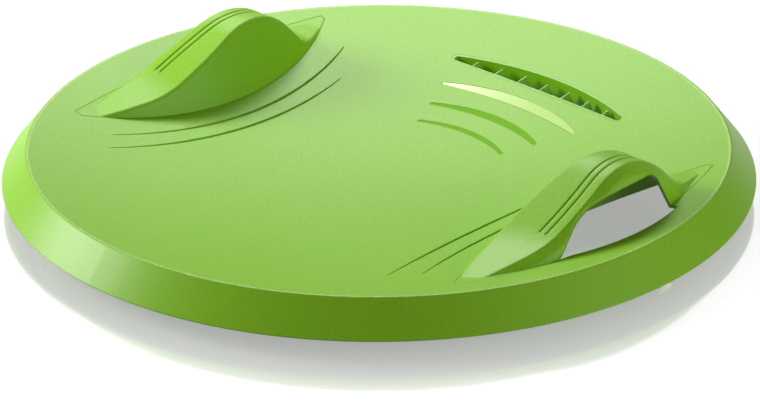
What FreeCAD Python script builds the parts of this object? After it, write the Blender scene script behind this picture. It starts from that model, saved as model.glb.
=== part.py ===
import FreeCAD, Part
import math
import os
import Sketcher

# Saucer sled: a dished round pan with two hump handles, a ribbed carry slot and three gloss crescents.
# Frame: +Z up, +Y towards the carry slot, handles on +X and -X, origin under the middle of the dish.

# Driving dimensions, in millimetres, degrees and counts
dimensions = {
    "outer_diameter": 600.0,
    "crease_diameter": 558.0,
    "dish_radius": 1043.0,
    "pan_wall": 3.2,
    "base_flat_depth": 1.2,
    "skirt_drop": 25.5,
    "skirt_wall": 3.0,
    "crease_edge": 1.2,
    "crease_edge_slope_deg": 18.0,
    "lip_edge": 0.8,
    "joint_gap": 0.1,
    "lap_width": 5.0,
    "grip_inner": 167.2,
    "grip_inner_radius": 300.0,
    "grip_inner_station": 3.0,
    "grip_outer": 252.1,
    "grip_outer_radius": 490.0,
    "grip_outer_station": 15.0,
    "grip_front": 133.0,
    "grip_back": 148.0,
    "grip_draft_deg": 17.0,
    "grip_wall": 3.0,
    "crest_height": 73.4,
    "crest_station": 36.0,
    "crest_radius": 65.0,
    "front_slope_deg": 24.0,
    "back_slope_deg": 47.0,
    "front_foot_slope_deg": 8.0,
    "back_foot_slope_deg": 1.0,
    "front_sweep_radius": 120.0,
    "back_sweep_radius": 25.0,
    "front_foot_inner": 20.1,
    "front_foot_outer": 29.3,
    "back_foot_inner": 22.1,
    "back_foot_outer": 41.3,
    "band_inner_edge": 1.2,
    "band_outer_edge": 6.0,
    "band_soft_edge": 1.8,
    "band_groove_width": 1.3,
    "band_groove_depth": 0.7,
    "band_groove_front": 46.0,
    "band_groove_back": 62.0,
    "near_band_groove": 14.0,
    "far_band_groove": 20.0,
    "window_front": 53.4,
    "window_back": 77.5,
    "window_knee_station": 15.7,
    "window_knee_height": 61.0,
    "window_top_station": 63.7,
    "window_top_height": 61.0,
    "window_sill": 27.0,
    "window_front_round": 95.0,
    "window_back_round": 12.0,
    "bay_radius": 170.0,
    "bay_land": 26.0,
    "bay_station": 28.0,
    "bay_front": 48.0,
    "bay_back": 74.0,
    "slot_length": 188.0,
    "slot_near": 190.0,
    "slot_width": 19.6,
    "slot_bulge": 7.2,
    "slot_end_width": 6.0,
    "slot_end_round": 2.8,
    "liner_wall": 2.0,
    "liner_foot": 6.0,
    "liner_lap": 4.0,
    "rib_count": 7,
    "rib_pitch": 24.6,
    "rib_reach": 12.2,
    "rib_width": 13.0,
    "rib_height": 12.0,
    "rib_crest": 0.9,
    "rib_drop": 0.4,
    "large_length": 150.0,
    "large_near": 160.0,
    "large_width": 13.0,
    "large_bulge": 11.2,
    "large_end_width": 3.4,
    "middle_length": 119.0,
    "middle_near": 131.0,
    "middle_width": 8.0,
    "middle_bulge": 12.0,
    "middle_end_width": 3.2,
    "small_length": 95.0,
    "small_near": 102.6,
    "small_width": 5.4,
    "small_bulge": 10.6,
    "small_end_width": 2.8,
    "inlay_thickness": 1.2,
    "inlay_recess": 0.2,
    "groove_depth": 1.5,
    "groove_width": 2.8,
    "groove_end_width": 0.5,
    "outer_groove_length": 261.0,
    "outer_groove_mid": 151.5,
    "outer_groove_bulge": 24.5,
    "outer_groove_station": 1.0,
    "outer_groove_turn_deg": 0.0,
    "inner_groove_length": 243.5,
    "inner_groove_mid": 135.3,
    "inner_groove_bulge": 15.7,
    "inner_groove_station": -27.5,
    "inner_groove_turn_deg": 3.8,
    "tool_height": 100.0,
    "tool_margin": 20.0,
}

doc = FreeCAD.newDocument("saucer_sled")
sheet = doc.addObject("Spreadsheet::Sheet", "sizes")
for row, (alias, value) in enumerate(dimensions.items(), start=1):
    sheet.set(f"A{row}", alias)
    sheet.set(f"B{row}", str(value))
    sheet.setAlias(f"B{row}", alias)
doc.recompute()


def size(alias):
    return float(sheet.get(alias))


# Height of the dish's centre of curvature, reach of the finger bays and height of the crease
dish_centre = "(sizes.dish_radius + sizes.pan_wall - sizes.base_flat_depth)"
bay_reach = "(sizes.crease_diameter / 2 - sizes.bay_land)"
crease_height = f"({dish_centre} - sqrt(sizes.dish_radius^2 - (sizes.crease_diameter / 2)^2))"


def attach(body, name, role):
    sketch = body.newObject("Sketcher::SketchObject", name)
    plane = [feature for feature in body.Origin.OriginFeatures if feature.Role == role][0]
    sketch.AttachmentSupport = [(plane, "")]
    sketch.MapMode = "FlatFace"
    return sketch


def drive(sketch, name, expression, kind, *where):
    index = sketch.addConstraint(Sketcher.Constraint(kind, *where))
    sketch.renameConstraint(index, name)
    sketch.setExpression("Constraints." + name, expression)


def drive_point(sketch, name, geometry, end, point, across, up):
    drive(sketch, name + "_across", across, "DistanceX", -1, 1, geometry, end, point.x)
    drive(sketch, name + "_up", up, "DistanceY", -1, 1, geometry, end, point.y)


def flat(across, up):
    return FreeCAD.Vector(across, up, 0)


def line(start, end):
    return Part.LineSegment(start, end)


def arc(centre, radius, start, end):
    # Counter-clockwise from the direction of start to that of end
    first = math.atan2(start.y - centre.y, start.x - centre.x)
    last = math.atan2(end.y - centre.y, end.x - centre.x)
    if last < first:
        last += 2 * math.pi
    return Part.ArcOfCircle(Part.Circle(centre, FreeCAD.Vector(0, 0, 1), radius), first, last)


def pad(body, sketch, name, length):
    feature = body.newObject("PartDesign::Pad", name)
    feature.Profile = sketch
    feature.setExpression("Length", length)
    sketch.Visibility = False
    doc.recompute()
    return feature


def dress_edges(body, base, name, kind, sizing, expression, wanted):
    picked = []
    for number, edge in enumerate(base.Shape.Edges, start=1):
        if not edge.Degenerated and wanted(edge):
            picked.append(f"Edge{number}")
    feature = body.newObject(kind, name)
    feature.Base = (base, picked)
    feature.setExpression(sizing, expression)
    doc.recompute()
    return feature


def round_edges(body, base, name, radius, wanted):
    return dress_edges(body, base, name, "PartDesign::Fillet", "Radius", radius, wanted)


def bevel_edges(body, base, name, width, wanted):
    return dress_edges(body, base, name, "PartDesign::Chamfer", "Size", width, wanted)


def points_on(edge, count=5):
    return edge.discretize(Number=count)


def combine(kind, name, base, tool):
    feature = doc.addObject(kind, name)
    feature.Base = base
    feature.Tool = tool
    return feature


def common(name, base, tool):
    return combine("Part::Common", name, base, tool)


def cut(name, base, tool):
    return combine("Part::Cut", name, base, tool)


def fuse(name, shapes):
    feature = doc.addObject("Part::MultiFuse", name)
    feature.Shapes = shapes
    return feature


def mirror(name, source):
    feature = doc.addObject("Part::Mirroring", name)
    feature.Source = source
    feature.Normal = FreeCAD.Vector(1, 0, 0)
    return feature


def dish_ball(name, depth):
    # Ball whose lower face runs parallel to the dish, at a depth below the seat surface
    ball = doc.addObject("Part::Sphere", name)
    ball.Placement.Rotation = FreeCAD.Rotation(FreeCAD.Vector(1, 0, 0), 90)
    ball.setExpression("Radius", "sizes.dish_radius + " + depth)
    ball.setExpression("Placement.Base.z", dish_centre)
    return ball


def leaning_cone(name, side, grow):
    # Cone whose wall leans inwards as it rises, for one long side of a handle
    cone = doc.addObject("Part::Cone", name)
    radius = f"sizes.grip_{side}_radius"
    cone.setExpression("Radius1", f"{radius} + {grow}")
    cone.setExpression("Radius2", f"{radius} + {grow} - sizes.tool_height * tan(sizes.grip_draft_deg)")
    cone.setExpression("Height", "sizes.tool_height")
    if side == "outer":
        cone.Placement.Rotation = FreeCAD.Rotation(FreeCAD.Vector(0, 0, 1), 180)
    reach = "+" if side == "inner" else "-"
    cone.setExpression("Placement.Base.x", f"sizes.grip_{side} {reach} {radius}")
    cone.setExpression("Placement.Base.y", f"sizes.grip_{side}_station")
    return cone


def foot_block(name, grow):
    # Lens between two leaning walls, cut off square at the front and the back
    inner = leaning_cone(name + "_inner", "inner", grow)
    outer = leaning_cone(name + "_outer", "outer", grow)
    box = doc.addObject("Part::Box", name + "_ends")
    box.setExpression("Length", "sizes.grip_outer - sizes.grip_inner + 2 * sizes.tool_margin")
    box.setExpression("Width", f"sizes.grip_front + sizes.grip_back + 2 * {grow}")
    box.setExpression("Height", "sizes.tool_height")
    box.setExpression("Placement.Base.x", "sizes.grip_inner - sizes.tool_margin")
    box.setExpression("Placement.Base.y", f"-sizes.grip_front - {grow}")
    return common(name, common(name + "_lens", inner, outer), box)


def on_wall(side):
    # Test for edges that lie on the upper rim of a handle's inner or outer wall
    reach = 1 if side == "inner" else -1
    radius = size(f"grip_{side}_radius")
    centre = flat(size(f"grip_{side}") + reach * radius, size(f"grip_{side}_station"))
    draft = math.tan(math.radians(size("grip_draft_deg")))

    def wanted(edge, grow=0.0):
        points = points_on(edge)
        if edge.BoundBox.YLength < 0.5 or max(p.z for p in points) < 0.01:
            return False
        gaps = [math.hypot(p.x - centre.x, p.y - centre.y) + draft * p.z - radius for p in points]
        return all(abs(gap - grow) < 0.02 for gap in gaps)

    return wanted


def hump_profile(body, name, side, inset):
    # Side view of a handle: foot, sweep, ramp, crest, fall, sweep, foot
    sketch = attach(body, name, "YZ_Plane")
    shift = size(inset) if inset else 0.0
    depth = f"sizes.{inset}" if inset else "0"
    crest = size("crest_radius") - shift
    front_sweep = size("front_sweep_radius") + shift
    back_sweep = size("back_sweep_radius") + shift
    margin = size("tool_margin")
    ramp = math.radians(size("front_slope_deg"))
    fall = math.radians(size("back_slope_deg"))
    front_foot = math.radians(size("front_foot_slope_deg"))
    back_foot = math.radians(size("back_foot_slope_deg"))
    centre = flat(size("crest_station"), size("crest_height") - size("crest_radius"))
    ramp_top = centre + flat(-math.sin(ramp), math.cos(ramp)) * crest
    fall_top = centre + flat(math.sin(fall), math.cos(fall)) * crest
    front_end = flat(-size("grip_front") - margin, size(f"front_foot_{side}") - shift)
    back_end = flat(size("grip_back") + margin, size(f"back_foot_{side}") - shift)

    def meet(start, slope, other, other_slope):
        across = other.y - start.y + slope * start.x - other_slope * other.x
        x = across / (slope - other_slope)
        return flat(x, start.y + slope * (x - start.x))

    front_knee = meet(ramp_top, math.tan(ramp), front_end, math.tan(front_foot))
    back_knee = meet(fall_top, -math.tan(fall), back_end, -math.tan(back_foot))
    front_run = front_sweep * math.tan((ramp - front_foot) / 2)
    back_run = back_sweep * math.tan((fall - back_foot) / 2)
    front_start = front_knee - flat(math.cos(front_foot), math.sin(front_foot)) * front_run
    front_stop = front_knee + flat(math.cos(ramp), math.sin(ramp)) * front_run
    back_start = back_knee + flat(-math.cos(fall), math.sin(fall)) * back_run
    back_stop = back_knee + flat(math.cos(back_foot), -math.sin(back_foot)) * back_run
    front_centre = front_start + flat(-math.sin(front_foot), math.cos(front_foot)) * front_sweep
    back_centre = back_stop + flat(math.sin(back_foot), math.cos(back_foot)) * back_sweep
    sketch.addGeometry(line(front_end, front_start))
    sketch.addGeometry(arc(front_centre, front_sweep, front_start, front_stop))
    sketch.addGeometry(line(front_stop, ramp_top))
    sketch.addGeometry(arc(centre, crest, fall_top, ramp_top))
    sketch.addGeometry(line(fall_top, back_start))
    sketch.addGeometry(arc(back_centre, back_sweep, back_start, back_stop))
    sketch.addGeometry(line(back_stop, back_end))
    sketch.addGeometry(line(back_end, flat(back_end.x, 0)))
    sketch.addGeometry(line(flat(back_end.x, 0), flat(front_end.x, 0)))
    sketch.addGeometry(line(flat(front_end.x, 0), front_end))
    for first, end, second, start in ((0, 2, 1, 1), (1, 2, 2, 1), (2, 2, 3, 2),
                                      (3, 1, 4, 1), (4, 2, 5, 1), (5, 2, 6, 1)):
        sketch.addConstraint(Sketcher.Constraint("Tangent", first, end, second, start))
    for first, second in ((6, 7), (7, 8), (8, 9), (9, 0)):
        sketch.addConstraint(Sketcher.Constraint("Coincident", first, 2, second, 1))
    sketch.addConstraint(Sketcher.Constraint("Vertical", 7))
    sketch.addConstraint(Sketcher.Constraint("Vertical", 9))
    sketch.addConstraint(Sketcher.Constraint("PointOnObject", 8, 1, -1))
    sketch.addConstraint(Sketcher.Constraint("PointOnObject", 8, 2, -1))
    drive_point(sketch, "crest_centre", 3, 3, centre, "sizes.crest_station",
                "sizes.crest_height - sizes.crest_radius")
    drive(sketch, "crest", "sizes.crest_radius - " + depth, "Radius", 3, crest)
    drive(sketch, "front_sweep", "sizes.front_sweep_radius + " + depth, "Radius", 1, front_sweep)
    drive(sketch, "back_sweep", "sizes.back_sweep_radius + " + depth, "Radius", 5, back_sweep)
    drive(sketch, "ramp", "sizes.front_slope_deg", "Angle", -1, 1, 2, 1, ramp)
    drive(sketch, "front_foot", "sizes.front_foot_slope_deg", "Angle", -1, 1, 0, 1, front_foot)
    drive(sketch, "fall", "-sizes.back_slope_deg", "Angle", -1, 1, 4, 1, -fall)
    drive(sketch, "back_foot", "-sizes.back_foot_slope_deg", "Angle", -1, 1, 6, 1, -back_foot)
    drive_point(sketch, "front_end", 0, 1, front_end, "-sizes.grip_front - sizes.tool_margin",
                f"sizes.front_foot_{side} - {depth}")
    drive_point(sketch, "back_end", 6, 2, back_end, "sizes.grip_back + sizes.tool_margin",
                f"sizes.back_foot_{side} - {depth}")
    reach = "-" if side == "inner" else "+"
    sketch.setExpression("AttachmentOffset.Base.z", f"sizes.grip_{side} {reach} sizes.tool_margin")
    return sketch


def hump_loft(name, inset=None):
    # Hump drawn from its inner to its outer side view, so that its feet follow the rising dish
    body = doc.addObject("PartDesign::Body", name)
    inner = hump_profile(body, name + "_inner_view", "inner", inset)
    outer = hump_profile(body, name + "_outer_view", "outer", inset)
    doc.recompute()
    loft = body.newObject("PartDesign::AdditiveLoft", name + "_drawn")
    loft.Profile = inner
    loft.Sections = [outer]
    loft.Ruled = True
    doc.recompute()
    return body


def dressed_hump(name, foot, drawn):
    # Body that starts from the part of a drawn hump inside its foot
    body = doc.addObject("PartDesign::Body", name)
    raw = common(name + "_raw", foot, drawn)
    doc.recompute()
    body.BaseFeature = raw
    doc.recompute()
    return body


def crescent_prism(name, outline, grow, end_round=None):
    # Upright prism on a crescent that bows towards +Y, with its near side through the origin
    body = doc.addObject("PartDesign::Body", name)
    sketch = attach(body, name + "_outline", "XY_Plane")
    length, width, bulge, end_width = [size(alias) for alias in outline]
    length_cell, width_cell, bulge_cell, end_cell = ["sizes." + alias for alias in outline]
    half = f"({length_cell} / 2 + {grow})"
    low = f"(-{bulge_cell} - {grow})"
    high = f"({end_cell} - {bulge_cell} + {grow})"
    far_rise_cell = f"({bulge_cell} + {width_cell} - {end_cell})"
    end_x = length / 2
    low_y = -bulge
    high_y = low_y + end_width
    far_rise = bulge + width - end_width
    near_radius = (end_x ** 2 + bulge ** 2) / (2 * bulge)
    far_radius = (end_x ** 2 + far_rise ** 2) / (2 * far_rise)
    near_centre = flat(0, -near_radius)
    far_centre = flat(0, high_y + far_rise - far_radius)
    sketch.addGeometry(arc(far_centre, far_radius, flat(end_x, high_y), flat(-end_x, high_y)))
    sketch.addGeometry(line(flat(-end_x, high_y), flat(-end_x, low_y)))
    sketch.addGeometry(arc(near_centre, near_radius, flat(end_x, low_y), flat(-end_x, low_y)))
    sketch.addGeometry(line(flat(end_x, low_y), flat(end_x, high_y)))
    for first, end, second, start in ((0, 2, 1, 1), (1, 2, 2, 2), (2, 1, 3, 1), (3, 2, 0, 1)):
        sketch.addConstraint(Sketcher.Constraint("Coincident", first, end, second, start))
    drive_point(sketch, "left_high", 1, 1, flat(-end_x, high_y), "-" + half, high)
    drive_point(sketch, "left_low", 1, 2, flat(-end_x, low_y), "-" + half, low)
    drive_point(sketch, "right_low", 3, 1, flat(end_x, low_y), half, low)
    drive_point(sketch, "right_high", 3, 2, flat(end_x, high_y), half, high)
    drive(sketch, "far_radius", f"({half}^2 + {far_rise_cell}^2) / (2 * {far_rise_cell})",
          "Radius", 0, far_radius)
    drive(sketch, "near_radius", f"({half}^2 + {bulge_cell}^2) / (2 * {bulge_cell})",
          "Radius", 2, near_radius)
    feature = pad(body, sketch, name + "_pad", "sizes.tool_height")
    if end_round:
        top = size("tool_height")

        def upright(edge):
            return abs(edge.BoundBox.ZLength - top) < 0.01

        round_edges(body, feature, name + "_ends", end_round, upright)
    return body


def crescent_at(name, outline, near, grow, end_round=None):
    body = crescent_prism(name, outline, grow, end_round)
    body.setExpression("Placement.Base.y", "sizes." + near)
    return body


def rim_ring():
    # Half section of the rim turned about Z: crease bevel, straight skirt and lip
    body = doc.addObject("PartDesign::Body", "rim_ring")
    sketch = attach(body, "rim_section", "XZ_Plane")
    radius = size("dish_radius")
    middle_z = radius + size("pan_wall") - size("base_flat_depth")
    crease_x = size("crease_diameter") / 2
    crease = flat(crease_x, middle_z - math.sqrt(radius ** 2 - crease_x ** 2))
    bevel_slope = math.radians(size("crease_edge_slope_deg"))
    shoulder = crease + flat(math.cos(bevel_slope), -math.sin(bevel_slope)) * size("crease_edge")
    lip_edge = size("lip_edge")
    lip_z = crease.y - size("skirt_drop")
    lip_top = flat(size("outer_diameter") / 2, lip_z + lip_edge)
    chord = lip_top - shoulder
    down = chord * (1 / chord.Length)
    inward = flat(down.y, -down.x)
    skirt_wall = size("skirt_wall")
    lip_out = flat(lip_top.x - lip_edge, lip_z)
    lip_back = flat(lip_top.x + skirt_wall / inward.x, lip_top.y)
    lip_in = flat(lip_back.x + lip_edge, lip_z)
    climb = lip_back - crease
    root = lip_back - down * (climb.x * down.x + climb.y * down.y)
    corners = [crease, shoulder, lip_top, lip_out, lip_in, lip_back, root]
    count = len(corners)
    for index in range(count):
        sketch.addGeometry(line(corners[index], corners[(index + 1) % count]))
    for index in range(count):
        sketch.addConstraint(Sketcher.Constraint("Coincident", index, 2, (index + 1) % count, 1))
    sketch.addConstraint(Sketcher.Constraint("Horizontal", 3))
    sketch.addConstraint(Sketcher.Constraint("Parallel", 1, 5))
    sketch.addConstraint(Sketcher.Constraint("Perpendicular", 1, 6))
    drive_point(sketch, "crease", 0, 1, crease, "sizes.crease_diameter / 2", crease_height)
    drive(sketch, "crease_bevel", "sizes.crease_edge", "Distance", 0, 1, 0, 2, size("crease_edge"))
    drive(sketch, "crease_bevel_slope", "-sizes.crease_edge_slope_deg", "Angle", -1, 1, 0, 1, -bevel_slope)
    drive(sketch, "skirt_thickness", "sizes.skirt_wall", "Distance", 5, 1, 1, skirt_wall)
    drive(sketch, "lip_across", "sizes.outer_diameter / 2", "DistanceX", -1, 1, 1, 2, lip_top.x)
    drive(sketch, "drop", "sizes.skirt_drop", "DistanceY", 3, 1, 0, 1, size("skirt_drop"))
    drive(sketch, "outer_bevel_across", "sizes.lip_edge", "DistanceX", 2, 2, 2, 1, lip_edge)
    drive(sketch, "outer_bevel_up", "sizes.lip_edge", "DistanceY", 2, 2, 2, 1, lip_edge)
    drive(sketch, "inner_bevel_across", "sizes.lip_edge", "DistanceX", 4, 2, 4, 1, lip_edge)
    drive(sketch, "inner_bevel_up", "sizes.lip_edge", "DistanceY", 4, 1, 4, 2, lip_edge)
    turned = body.newObject("PartDesign::Revolution", "rim_turned")
    turned.Profile = sketch
    turned.ReferenceAxis = (sketch, ["V_Axis"])
    turned.Angle = 360
    doc.recompute()
    body.Placement.Rotation = FreeCAD.Rotation(FreeCAD.Vector(0, 0, 1), -90)
    return body


def dish_disc():
    # Dish wall out to the crease, cut square to its own curve there and level underneath
    disc = doc.addObject("Part::Cone", "dish_limit")
    disc.Placement.Rotation = FreeCAD.Rotation(FreeCAD.Vector(0, 0, 1), -90)
    slope = f"(sizes.crease_diameter / 2 / ({dish_centre} - {crease_height}))"
    disc.setExpression("Radius1", f"{slope} * {dish_centre}")
    disc.setExpression("Radius2", f"{slope} * ({dish_centre} - sizes.tool_height)")
    disc.setExpression("Height", "sizes.tool_height")
    return common("dish_disc", cut("dish_wall", under_ball, seat_ball), disc)


def finger_window():
    # Arched opening through a handle's outer wall, down past the pan
    body = doc.addObject("PartDesign::Body", "finger_window")
    sketch = attach(body, "window_outline", "YZ_Plane")
    corners = [
        (flat(-size("window_front"), size("window_sill")), "-sizes.window_front", "sizes.window_sill"),
        (flat(-size("window_knee_station"), size("window_knee_height")),
         "-sizes.window_knee_station", "sizes.window_knee_height"),
        (flat(size("window_top_station"), size("window_top_height")),
         "sizes.window_top_station", "sizes.window_top_height"),
        (flat(size("window_back"), size("window_sill")), "sizes.window_back", "sizes.window_sill"),
        (flat(size("window_back"), 0), "sizes.window_back", "0"),
        (flat(-size("window_front"), 0), "-sizes.window_front", "0"),
    ]
    count = len(corners)
    for index in range(count):
        sketch.addGeometry(line(corners[index][0], corners[(index + 1) % count][0]))
    for index in range(count):
        sketch.addConstraint(Sketcher.Constraint("Coincident", index, 2, (index + 1) % count, 1))
    for index, (point, across, up) in enumerate(corners):
        drive_point(sketch, f"corner{index}", index, 1, point, across, up)
    feature = pad(body, sketch, "window_pad", f"{bay_reach} + sizes.tool_margin")

    def along_at(across, up):
        def wanted(edge):
            return all(abs(p.y - across) < 0.01 and abs(p.z - up) < 0.01 for p in points_on(edge))
        return wanted

    feature = round_edges(body, feature, "window_front_rounded", "sizes.window_front_round",
                          along_at(corners[1][0].x, corners[1][0].y))
    round_edges(body, feature, "window_back_rounded", "sizes.window_back_round",
                along_at(corners[2][0].x, corners[2][0].y))
    return body


# Parallel faces of the dish's wall
seat_ball = dish_ball("seat_ball", "0")
lap_ball = dish_ball("lap_ball", "sizes.pan_wall / 2")
under_ball = dish_ball("under_ball", "sizes.pan_wall")
under_half = cut("under_half", under_ball, lap_ball)

# Right handle: hump and foot plate on one outline, with a lap let in under the pan
grip_foot = foot_block("grip_foot", "0")
grip_core_foot = foot_block("grip_core_foot", "(-sizes.grip_wall)")
grip_lap_foot = foot_block("grip_lap_foot", "sizes.lap_width")
hump = hump_loft("hump")
hump_core = hump_loft("hump_core", "grip_wall")

grip_hump = dressed_hump("grip_hump", grip_foot, hump)
band_inner = bevel_edges(grip_hump, grip_hump.Tip, "band_inner", "sizes.band_inner_edge", on_wall("inner"))
band_outer = bevel_edges(grip_hump, band_inner, "band_outer", "sizes.band_outer_edge", on_wall("outer"))
bevel_edges(grip_hump, band_outer, "band_soft", "sizes.band_soft_edge", on_wall("outer"))

# Hollow whose outer bevel keeps the wall's thickness behind the band's bevel
grip_hollow = dressed_hump("grip_hollow", grip_core_foot, hump_core)
core_wall = on_wall("outer")
bevel_edges(grip_hollow, grip_hollow.Tip, "hollow_outer",
            "sizes.band_outer_edge - (2 - sqrt(2)) * sizes.grip_wall",
            lambda edge: core_wall(edge, -size("grip_wall")))

hump_above = common("hump_above", grip_hump, under_ball)
foot_below = common("foot_below", grip_foot, under_ball)
foot_plate = cut("foot_plate", foot_below, seat_ball)
grip_lap = common("grip_lap", grip_lap_foot, under_half)
grip_outside = fuse("grip_outside", [hump_above, foot_plate, grip_lap])
grip_middle = "(sizes.grip_inner + sizes.grip_outer) / 2"

# Pair of fine grooves along the crest of the band, beside its outer edge
band_groove_ends = doc.addObject("Part::Box", "band_groove_ends")
band_groove_ends.setExpression("Length", "sizes.grip_outer")
band_groove_ends.setExpression("Width", "sizes.band_groove_front + sizes.band_groove_back")
band_groove_ends.setExpression("Height", "sizes.tool_height")
band_groove_ends.setExpression("Placement.Base.y", "-sizes.band_groove_front")
band_grooves = []
for label in ("near_band_groove", "far_band_groove"):
    outside = leaning_cone(label + "_outside", "outer", f"(-sizes.{label})")
    inside = leaning_cone(label + "_inside", "outer", f"(-sizes.{label} - sizes.band_groove_width)")
    sheath = cut(label + "_sheath", outside, inside)
    band_grooves.append(common(label, sheath, band_groove_ends))
band_groove_floor = hump_loft("band_groove_floor", "band_groove_depth")
band_groove_cut = cut("band_groove_cut", fuse("band_groove_pair", band_grooves), band_groove_floor)

# Arched window and the hollow under the hump
window_block = doc.addObject("Part::Box", "window_block")
window_block.setExpression("Length", f"{bay_reach} + sizes.tool_margin - {grip_middle}")
window_block.setExpression("Width", "sizes.grip_front + sizes.grip_back")
window_block.setExpression("Height", "sizes.tool_height")
window_block.setExpression("Placement.Base.x", grip_middle)
window_block.setExpression("Placement.Base.y", "-sizes.grip_front")
window = common("window", finger_window(), window_block)
grip_openings = fuse("grip_openings", [grip_hollow, window, band_groove_cut])
right_handle = cut("right_handle", grip_outside, grip_openings)
left_handle = mirror("left_handle", right_handle)
doc.recompute()

# Openings in the pan for the handles, with the finger bay outside each one
pan_foot = foot_block("pan_foot", "sizes.joint_gap")
pan_lap_foot = foot_block("pan_lap_foot", "(sizes.lap_width + sizes.joint_gap)")
pan_lap = cut("pan_lap", pan_lap_foot, lap_ball)
bay_round = doc.addObject("Part::Cylinder", "bay_round")
bay_round.Placement.Rotation = FreeCAD.Rotation(FreeCAD.Vector(0, 0, 1), 180)
bay_round.setExpression("Radius", "sizes.bay_radius")
bay_round.setExpression("Height", "sizes.tool_height")
bay_round.setExpression("Placement.Base.x", f"{bay_reach} - sizes.bay_radius")
bay_round.setExpression("Placement.Base.y", "sizes.bay_station")
bay_block = doc.addObject("Part::Box", "bay_block")
bay_block.setExpression("Length", f"{bay_reach} + sizes.tool_margin - {grip_middle}")
bay_block.setExpression("Width", "sizes.bay_front + sizes.bay_back")
bay_block.setExpression("Height", "sizes.tool_height")
bay_block.setExpression("Placement.Base.x", grip_middle)
bay_block.setExpression("Placement.Base.y", "-sizes.bay_front")
bay = common("bay", bay_round, bay_block)
right_opening = fuse("right_opening", [pan_foot, pan_lap, bay])
left_opening = mirror("left_opening", right_opening)

# Carry slot liner: a collar through the pan with a lap under it and roof-shaped ribs on its near wall
slot = ("slot_length", "slot_width", "slot_bulge", "slot_end_width")
outer_round = "sizes.slot_end_round + sizes.liner_wall"
liner_inside = crescent_at("liner_inside", slot, "slot_near", "0", "sizes.slot_end_round")
liner_outside = crescent_at("liner_outside", slot, "slot_near", "sizes.liner_wall", outer_round)
liner_outside.setExpression("Placement.Base.z", "sizes.liner_foot")
liner_lap_foot = crescent_at("liner_lap_foot", slot, "slot_near", "(sizes.liner_wall + sizes.liner_lap)")
slot_hole = crescent_at("slot_hole", slot, "slot_near", "(sizes.liner_wall + sizes.joint_gap)", outer_round)
slot_lap_hole = crescent_at("slot_lap_hole", slot, "slot_near",
                            "(sizes.liner_wall + sizes.liner_lap + sizes.joint_gap)")
liner_trim = cut("liner_trim", liner_outside, seat_ball)
liner_lap = common("liner_lap", liner_lap_foot, under_half)
liner_block = fuse("liner_block", [liner_trim, liner_lap])
liner_collar = cut("liner_collar", liner_block, liner_inside)
rib_tips = ("slot_length", "rib_reach", "slot_bulge", "slot_end_width")
rib_zone = crescent_at("rib_zone", rib_tips, "slot_near", "0")
near_radius = "(((sizes.slot_length / 2)^2 + sizes.slot_bulge^2) / (2 * sizes.slot_bulge))"
ribs = []
for index in range(int(size("rib_count"))):
    turn = f"(({index} - (sizes.rib_count - 1) / 2) * sizes.rib_pitch / {near_radius} * 1 rad)"
    across = f"({near_radius} * sin({turn}))"
    along = f"(sizes.slot_near - {near_radius} * (1 - cos({turn})))"
    rib = doc.addObject("Part::Wedge", f"rib_{index}")
    rib.Placement.Rotation = FreeCAD.Rotation(FreeCAD.Vector(1, 0, 0), 90)
    rib.setExpression("Placement.Rotation.Angle", "90 deg + asin(sizes.slot_near / sizes.dish_radius)")
    rib.setExpression("Placement.Base.x", across)
    rib.setExpression("Placement.Base.y", along)
    rib.setExpression("Placement.Base.z",
                      f"{dish_centre} - sqrt(sizes.dish_radius^2 - {across}^2 - {along}^2)")
    for corner, width in (("X", "rib_width"), ("X2", "rib_crest")):
        rib.setExpression(corner + "min", f"-sizes.{width} / 2")
        rib.setExpression(corner + "max", f"sizes.{width} / 2")
    for corner in ("Z", "Z2"):
        rib.setExpression(corner + "min", "-sizes.tool_margin")
        rib.setExpression(corner + "max", "sizes.liner_wall")
    rib.setExpression("Ymin", "-sizes.rib_height")
    rib.setExpression("Ymax", "-sizes.rib_drop")
    ribs.append(rib)
rib_row = fuse("rib_row", ribs)
rib_trim = common("rib_trim", rib_row, rib_zone)
carry_slot_liner = fuse("carry_slot_liner", [liner_collar, rib_trim])
slot_lap_cut = cut("slot_lap_cut", slot_lap_hole, lap_ball)
doc.recompute()

# Gloss crescents: thin inlays in shallow pockets
pocket_floor = dish_ball("pocket_floor", "sizes.inlay_thickness")
inlay_face = dish_ball("inlay_face", "sizes.inlay_recess")
inlays = []
pockets = []
for label in ("large", "middle", "small"):
    outline = [f"{label}_{part}" for part in ("length", "width", "bulge", "end_width")]
    inlay_blank = crescent_at(f"{label}_blank", outline, f"{label}_near", "0")
    pocket_blank = crescent_at(f"{label}_pocket_blank", outline, f"{label}_near", "sizes.joint_gap")
    inlay_thick = common(f"{label}_thick", inlay_blank, pocket_floor)
    inlays.append(cut(f"crescent_inlay_{label}", inlay_thick, inlay_face))
    pockets.append(common(f"{label}_pocket", pocket_blank, pocket_floor))
doc.recompute()

# Tapered grooves on the seat, beside each handle
groove_floor = dish_ball("groove_floor", "sizes.groove_depth")
grooves = []
for name in ("inner_groove", "outer_groove"):
    outline = (f"{name}_length", "groove_width", f"{name}_bulge", "groove_end_width")
    blank = crescent_prism(f"{name}_blank", outline, "0")
    blank.Placement.Rotation = FreeCAD.Rotation(FreeCAD.Vector(0, 0, 1), 90)
    blank.setExpression("Placement.Rotation.Angle", f"90 + sizes.{name}_turn_deg")
    blank.setExpression("Placement.Base.x", f"sizes.{name}_mid")
    blank.setExpression("Placement.Base.y", f"sizes.{name}_station")
    groove = common(f"{name}_right", blank, groove_floor)
    grooves.append(groove)
    grooves.append(mirror(f"{name}_left", groove))

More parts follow.
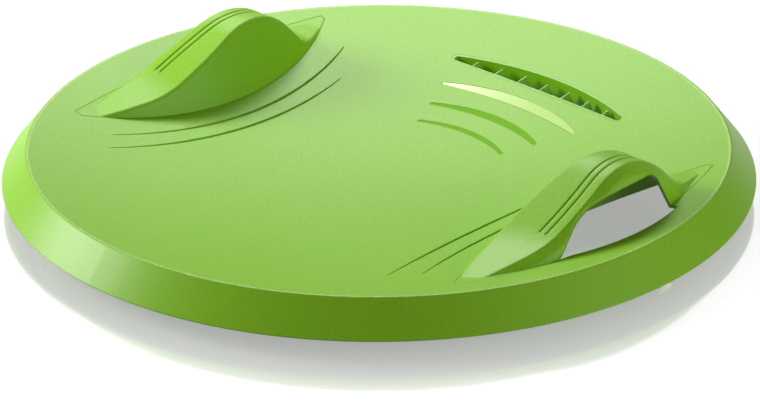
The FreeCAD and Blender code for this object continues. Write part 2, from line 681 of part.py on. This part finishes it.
pan_cuts = fuse("pan_cuts", [right_opening, left_opening, slot_hole, slot_lap_cut] + pockets + grooves)
pan_blank = fuse("pan_blank", [dish_disc(), rim_ring()])
saucer_pan = cut("saucer_pan", pan_blank, pan_cuts)
doc.recompute()

nodes = [saucer_pan, right_handle, left_handle, carry_slot_liner] + inlays
for feature in doc.Objects:
    if "Invalid" in feature.State or "Error" in feature.State:
        raise RuntimeError(f"{feature.Name} did not build: {feature.State}")
for node in nodes:
    if node.Shape.isNull() or not node.Shape.isValid():
        raise RuntimeError(f"{node.Label} has no valid shape")

os.makedirs("parts", exist_ok=True)
for node in nodes:
    node.Shape.exportStep(f"parts/{node.Label}.step")
    print(node.Label, len(node.Shape.Solids), round(node.Shape.Volume / 1000, 2))
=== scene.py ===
import math

import bmesh
import bpy
from mathutils import Matrix, Vector

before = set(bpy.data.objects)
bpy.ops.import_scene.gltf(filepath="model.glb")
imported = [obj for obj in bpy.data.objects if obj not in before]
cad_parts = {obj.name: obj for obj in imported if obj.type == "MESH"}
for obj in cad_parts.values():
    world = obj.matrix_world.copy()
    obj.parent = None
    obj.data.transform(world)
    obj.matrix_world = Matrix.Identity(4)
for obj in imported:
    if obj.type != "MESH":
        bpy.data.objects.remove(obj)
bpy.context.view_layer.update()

scene = bpy.context.scene
scene.view_settings.view_transform = "Standard"
print("frame loaded:", ", ".join(sorted(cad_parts)))

# socket numbers of a Mix node, whose sockets share their names between number and colour
mixFactor = 0
numberA, numberB, numberOut = 2, 3, 0
colourA, colourB, colourOut = 6, 7, 2


def srgb(hexColour):  # sRGB hex to linear RGBA
    channels = [int(hexColour[i:i + 2], 16) / 255 for i in (1, 3, 5)]
    linear = [c / 12.92 if c <= 0.04045 else ((c + 0.055) / 1.055) ** 2.4 for c in channels]
    return (*linear, 1.0)


def metres(millimetres):
    return millimetres / 1000


def perMetre(millimetres):  # pattern scale that repeats about once in this many millimetres
    return 1000 / millimetres


def addNode(tree, kind, values=None, links=None, **settings):
    node = tree.nodes.new(kind)
    for name, value in settings.items():
        setattr(node, name, value)
    for socket, value in (values or {}).items():
        node.inputs[socket].default_value = value
    for socket, source in (links or {}).items():
        tree.links.new(source, node.inputs[socket])
    return node


def newMaterial(name):
    material = bpy.data.materials.new(name)
    material.use_nodes = True
    material.node_tree.nodes.clear()
    return material, material.node_tree


def seenDirectly(tree):  # 1 for camera, glossy and transmission rays, 0 for the light that surfaces scatter
    path = addNode(tree, "ShaderNodeLightPath")
    seen = path.outputs["Is Camera Ray"]
    for ray in ("Is Glossy Ray", "Is Transmission Ray"):
        seen = addNode(tree, "ShaderNodeMath", None, {0: seen, 1: path.outputs[ray]},
                       operation="MAXIMUM").outputs[0]
    return seen


# camera, placed as the photographer stood: in front, to the right, looking down on the seat
view = {
    "azimuth": 45.4,
    "elevation": 25.28,
    "roll": -0.3,
    "distance": 2.2,
    "target": (0.0, 0.0, -0.002),
    "lens": 129.65,
    "sensor": 36,
    "shiftX": 0.0013,
    "shiftY": -0.0310,
}
turn = math.radians(view["azimuth"])
lift = math.radians(view["elevation"])
back = Vector((math.sin(turn) * math.cos(lift), -math.cos(turn) * math.cos(lift), math.sin(lift)))
right = Vector((math.cos(turn), math.sin(turn), 0))
up = back.cross(right)
camera = bpy.data.objects.new("camera", bpy.data.cameras.new("camera"))
camera.data.lens = view["lens"]
camera.data.sensor_width = view["sensor"]
camera.data.shift_x = view["shiftX"]
camera.data.shift_y = view["shiftY"]
place = Matrix((right, up, back)).transposed().to_4x4()
place.translation = Vector(view["target"]) + back * view["distance"]
camera.matrix_world = place @ Matrix.Rotation(math.radians(view["roll"]), 4, "Z")
scene.collection.objects.link(camera)
scene.camera = camera
print("camera placed")

# directions on the floor as the camera sees them
towardsLeft = -right
towardsBack = Vector((-math.sin(turn), math.cos(turn), 0))

# what all the HDPE skins share
hdpe = {
    "ior": 1.54,
    "cloudDetail": 3.0,
    "grainDetail": 2.0,
    "grainRoughness": 0.55,
    "grainSpan": (0.3, 0.7),  # noise values that reach the ends of the roughness range
    "pitSpan": (0.62, 0.38),  # noise values where a pit begins and where it is deepest
    "edgeRays": 6,
}
# HDPE with a fine spark-eroded mould grain: matt, a soft wide highlight and a faint speckle
grainedHdpe = {
    "colour": "#8DCB1A",
    "paler": "#93CE24",
    # colour of the painted shade in the grain's low spots
    "pits": "#7FBB15",
    "roughness": (0.34, 0.44),
    "specular": 0.26,
    "grainMm": 1.0,  # real grain is about 0.5 mm, drawn coarser so that it shows
    "pebbleMm": 1.5,
    "cloudMm": 90,
    "depthMm": 0.1,
    "edgeMm": 1.4,
}
# the same skin on the handles: a little duller, with edges that look rounder
handleHdpe = dict(grainedHdpe, roughness=(0.36, 0.46), edgeMm=3.0)
# the same HDPE off a polished mould wall: even, satin, a tighter highlight
smoothHdpe = {
    "colour": "#7ABB12",
    "paler": "#7FBE17",
    "roughness": (0.34, 0.40),
    "specular": 0.36,
    "grainMm": 6.0,  # faint flow marks
    "cloudMm": 60,
    "depthMm": 0.04,
}
# HDPE panels off a satin mould: deep even green with hardly a highlight
satinHdpe = {
    "colour": "#72B60F",
    "paler": "#77B914",
    "roughness": (0.44, 0.48),
    "specular": 0.04,
    "grainMm": 8.0,
    "cloudMm": 40,
    "depthMm": 0.01,
}
# polished HDPE panel, pale: the pale colour is painted highlight, standing in for the bright reflection it
# shows; its gloss takes the lamps as clear white shapes
paleHighlightHdpe = {
    "colour": "#C2E97C",
    "paler": "#C8EC86",
    "roughness": (0.10, 0.14),
    "specular": 0.40,
    "grainMm": 8.0,
    "cloudMm": 40,
    "depthMm": 0.01,
}


def mouldedHdpe(name, look, wall=None, highlightRing=None):
    material, tree = newMaterial(name)
    coords = addNode(tree, "ShaderNodeTexCoord")
    spot = coords.outputs["Object"]
    cloud = addNode(tree, "ShaderNodeTexNoise",
                    {"Scale": perMetre(look["cloudMm"]), "Detail": hdpe["cloudDetail"]}, {"Vector": spot})
    colour = addNode(tree, "ShaderNodeMix",
                     {colourA: srgb(look["colour"]), colourB: srgb(look["paler"])},
                     {mixFactor: cloud.outputs["Fac"]}, data_type="RGBA").outputs[colourOut]
    if highlightRing:  # painted highlight: a thin pale line round the crease edge, standing in for the light the edge catches
        flat = addNode(tree, "ShaderNodeVectorMath", {1: (1, 1, 0)}, {0: spot}, operation="MULTIPLY")
        reach = addNode(tree, "ShaderNodeVectorMath", None, {0: flat.outputs[0]}, operation="LENGTH")
        off = addNode(tree, "ShaderNodeMath", {1: metres(highlightRing["radiusMm"])},
                      {0: reach.outputs["Value"]}, operation="SUBTRACT")
        off = addNode(tree, "ShaderNodeMath", None, {0: off.outputs[0]}, operation="ABSOLUTE")
        line = addNode(tree, "ShaderNodeMapRange",
                       {"From Min": metres(highlightRing["halfMm"]), "From Max": 0.0, "To Max": highlightRing["share"]},
                       {"Value": off.outputs[0]})
        colour = addNode(tree, "ShaderNodeMix", {colourB: srgb(highlightRing["colour"])},
                         {mixFactor: line.outputs[0], colourA: colour},
                         data_type="RGBA").outputs[colourOut]
    grain = addNode(tree, "ShaderNodeTexNoise",
                    {"Scale": perMetre(look["grainMm"]), "Detail": hdpe["grainDetail"],
                     "Roughness": hdpe["grainRoughness"]}, {"Vector": spot}).outputs["Fac"]
    height = grain
    if "pebbleMm" in look:
        pebble = addNode(tree, "ShaderNodeTexVoronoi", {"Scale": perMetre(look["pebbleMm"])},
                         {"Vector": spot}, feature="SMOOTH_F1")
        height = addNode(tree, "ShaderNodeMath", None, {0: height, 1: pebble.outputs["Distance"]},
                         operation="ADD").outputs[0]
    rough = addNode(tree, "ShaderNodeMapRange",
                    {"From Min": hdpe["grainSpan"][0], "From Max": hdpe["grainSpan"][1],
                     "To Min": look["roughness"][0], "To Max": look["roughness"][1]},
                    {"Value": grain}).outputs[0]
    bump = addNode(tree, "ShaderNodeBump", {"Strength": 1.0, "Distance": metres(look["depthMm"])},
                   {"Height": height})
    pits = None
    if "pits" in look:  # painted shade: the low spots of the grain are a little darker
        pits = addNode(tree, "ShaderNodeMapRange",
                       {"From Min": hdpe["pitSpan"][0], "From Max": hdpe["pitSpan"][1]},
                       {"Value": grain}).outputs[0]
    if wall:  # faces steeper than this come off another part of the mould
        facing = addNode(tree, "ShaderNodeSeparateXYZ", None, {0: coords.outputs["Normal"]})
        level = addNode(tree, "ShaderNodeMapRange",
                        {"From Min": wall["facing"][0], "From Max": wall["facing"][1]},
                        {"Value": facing.outputs["Z"]}).outputs[0]
        rough = addNode(tree, "ShaderNodeMix", {numberA: wall["roughness"]},
                        {mixFactor: level, numberB: rough}).outputs[numberOut]
        strength = addNode(tree, "ShaderNodeMapRange", {"To Min": wall["grain"]},
                           {"Value": level}).outputs[0]
        tree.links.new(strength, bump.inputs["Strength"])
        if pits:
            pits = addNode(tree, "ShaderNodeMath", None, {0: pits, 1: strength},
                           operation="MULTIPLY").outputs[0]
    if pits:
        colour = addNode(tree, "ShaderNodeMix", {colourB: srgb(look["pits"])},
                         {mixFactor: pits, colourA: colour}, data_type="RGBA").outputs[colourOut]
    if "edgeMm" in look:  # moulded edges are never quite sharp
        soft = addNode(tree, "ShaderNodeBevel", {"Radius": metres(look["edgeMm"])},
                       samples=hdpe["edgeRays"])
        tree.links.new(soft.outputs[0], bump.inputs["Normal"])
    skin = addNode(tree, "ShaderNodeBsdfPrincipled",
                   {"IOR": hdpe["ior"], "Specular IOR Level": look["specular"]},
                   {"Base Color": colour, "Roughness": rough, "Normal": bump.outputs[0]})
    addNode(tree, "ShaderNodeOutputMaterial", None, {"Surface": skin.outputs[0]})
    return material


skirt = {"facing": (0.72, 0.92), "roughness": 0.37, "grain": 0.6}  # rim below the crease
gripWall = {"facing": (0.35, 0.62), "roughness": 0.37, "grain": 0.05}  # smooth below the band
creaseHighlight = {"radiusMm": 278.3, "halfMm": 1.5, "share": 0.85, "colour": "#DDF2AE"}  # painted highlight along the pan's upper edge
panSkin = mouldedHdpe("grained_hdpe_pan", grainedHdpe, skirt, creaseHighlight)
handleSkin = mouldedHdpe("grained_hdpe_handle", handleHdpe, gripWall)
linerSkin = mouldedHdpe("smooth_hdpe_liner", smoothHdpe)
# the large crescent's pale colour is painted highlight
highlightInlaySkin = mouldedHdpe("polished_hdpe_inlay_painted_highlight", paleHighlightHdpe)
inlaySkin = mouldedHdpe("satin_hdpe_inlay", satinHdpe)

finishes = {
    "saucer_pan": panSkin,
    "right_handle": handleSkin,
    "left_handle": handleSkin,
    "carry_slot_liner": linerSkin,
    "crescent_inlay_large": highlightInlaySkin,
    "crescent_inlay_middle": inlaySkin,
    "crescent_inlay_small": inlaySkin,
}
for name, material in finishes.items():
    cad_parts[name].material_slots[0].material = material
print("finishes given to", len(finishes), "nodes")

# lacquered floor: white to the eye, keeps a faint shadow and a reflection that fades outwards
floorLook = {
    "half": 3.0,
    "colour": "#A8A8A6",
    "lacquer": "#FFFFFF",
    "glow": 0.965,
    "gloss": (0.62, 0.22),  # share of lacquer under the sled and out on the floor
    "fade": (0.27, 0.41),  # distance from the middle over which it changes
    "roughness": 0.09,
}
floorMesh = bpy.data.meshes.new("floor")
sheet = bmesh.new()
bmesh.ops.create_grid(sheet, x_segments=1, y_segments=1, size=floorLook["half"])
sheet.to_mesh(floorMesh)
sheet.free()
floor = bpy.data.objects.new("floor", floorMesh)
scene.collection.objects.link(floor)
floorSkin, tree = newMaterial("lacquered_studio_floor")
direct = seenDirectly(tree)
glowLevel = addNode(tree, "ShaderNodeMath", {1: floorLook["glow"]}, {0: direct}, operation="MULTIPLY")
paint = addNode(tree, "ShaderNodeBsdfDiffuse", {"Color": srgb(floorLook["colour"])})
glow = addNode(tree, "ShaderNodeEmission", None, {"Strength": glowLevel.outputs[0]})
lit = addNode(tree, "ShaderNodeAddShader", None, {0: paint.outputs[0], 1: glow.outputs[0]})
lacquer = addNode(tree, "ShaderNodeBsdfGlossy",
                  {"Color": srgb(floorLook["lacquer"]), "Roughness": floorLook["roughness"]})
coords = addNode(tree, "ShaderNodeTexCoord")
reach = addNode(tree, "ShaderNodeVectorMath", None, {0: coords.outputs["Object"]}, operation="LENGTH")
share = addNode(tree, "ShaderNodeMapRange",
                {"From Min": floorLook["fade"][0], "From Max": floorLook["fade"][1],
                 "To Min": floorLook["gloss"][0], "To Max": floorLook["gloss"][1]},
                {"Value": reach.outputs["Value"]})
glossShare = addNode(tree, "ShaderNodeMath", None, {0: share.outputs[0], 1: direct}, operation="MULTIPLY")
coated = addNode(tree, "ShaderNodeMixShader", None,
                 {0: glossShare.outputs[0], 1: lit.outputs[0], 2: lacquer.outputs[0]})
addNode(tree, "ShaderNodeOutputMaterial", None, {"Surface": coated.outputs[0]})
floorMesh.materials.append(floorSkin)
print("floor laid")

# soft studio light: a low box at the left, one high behind and a weak one in front at the right
lamps = {
    "leftBox": {"left": 1.57, "back": 0.24, "height": 0.70, "width": 0.75, "depth": 0.55, "power": 25.5},
    "rearBox": {"left": 0.12, "back": 0.85, "height": 0.80, "width": 0.68, "depth": 0.28, "power": 8.2},
    "rightBox": {"left": -1.25, "back": -0.85, "height": 0.42, "width": 1.0, "depth": 0.6, "power": 6.8},
}
for name, lamp in lamps.items():
    data = bpy.data.lights.new(name, "AREA")
    data.shape = "RECTANGLE"
    data.size = lamp["width"]
    data.size_y = lamp["depth"]
    data.energy = lamp["power"]
    box = bpy.data.objects.new(name, data)
    box.location = towardsLeft * lamp["left"] + towardsBack * lamp["back"] + Vector((0, 0, lamp["height"]))
    box.rotation_euler = box.location.to_track_quat("Z", "Y").to_euler()  # shines at the middle of the sled
    scene.collection.objects.link(box)
print("lamps lit")

# dim room with a white strip of backdrop between two heights in degrees, for the eye and glossy faces alone
room = {"ambient": 0.22, "backdrop": 1.0, "low": (19.0, 20.5), "high": (34.0, 37.0)}
world = bpy.data.worlds.new("dimRoom")
world.use_nodes = True
tree = world.node_tree
tree.nodes.clear()
coords = addNode(tree, "ShaderNodeTexCoord")
heading = addNode(tree, "ShaderNodeSeparateXYZ", None, {0: coords.outputs["Generated"]}).outputs["Z"]
low, high = [[math.sin(math.radians(angle)) for angle in room[edge]] for edge in ("low", "high")]
above = addNode(tree, "ShaderNodeMapRange", {"From Min": low[0], "From Max": low[1]}, {"Value": heading})
below = addNode(tree, "ShaderNodeMapRange", {"From Min": high[1], "From Max": high[0]}, {"Value": heading})
strip = addNode(tree, "ShaderNodeMath", None, {0: above.outputs[0], 1: below.outputs[0]},
                operation="MULTIPLY")
strip = addNode(tree, "ShaderNodeMath", None, {0: strip.outputs[0], 1: seenDirectly(tree)},
                operation="MULTIPLY")
level = addNode(tree, "ShaderNodeMapRange", {"To Min": room["ambient"], "To Max": room["backdrop"]},
                {"Value": strip.outputs[0]})
air = addNode(tree, "ShaderNodeBackground", None, {"Strength": level.outputs[0]})
addNode(tree, "ShaderNodeOutputWorld", None, {"Surface": air.outputs[0]})
scene.world = world
print("room set")
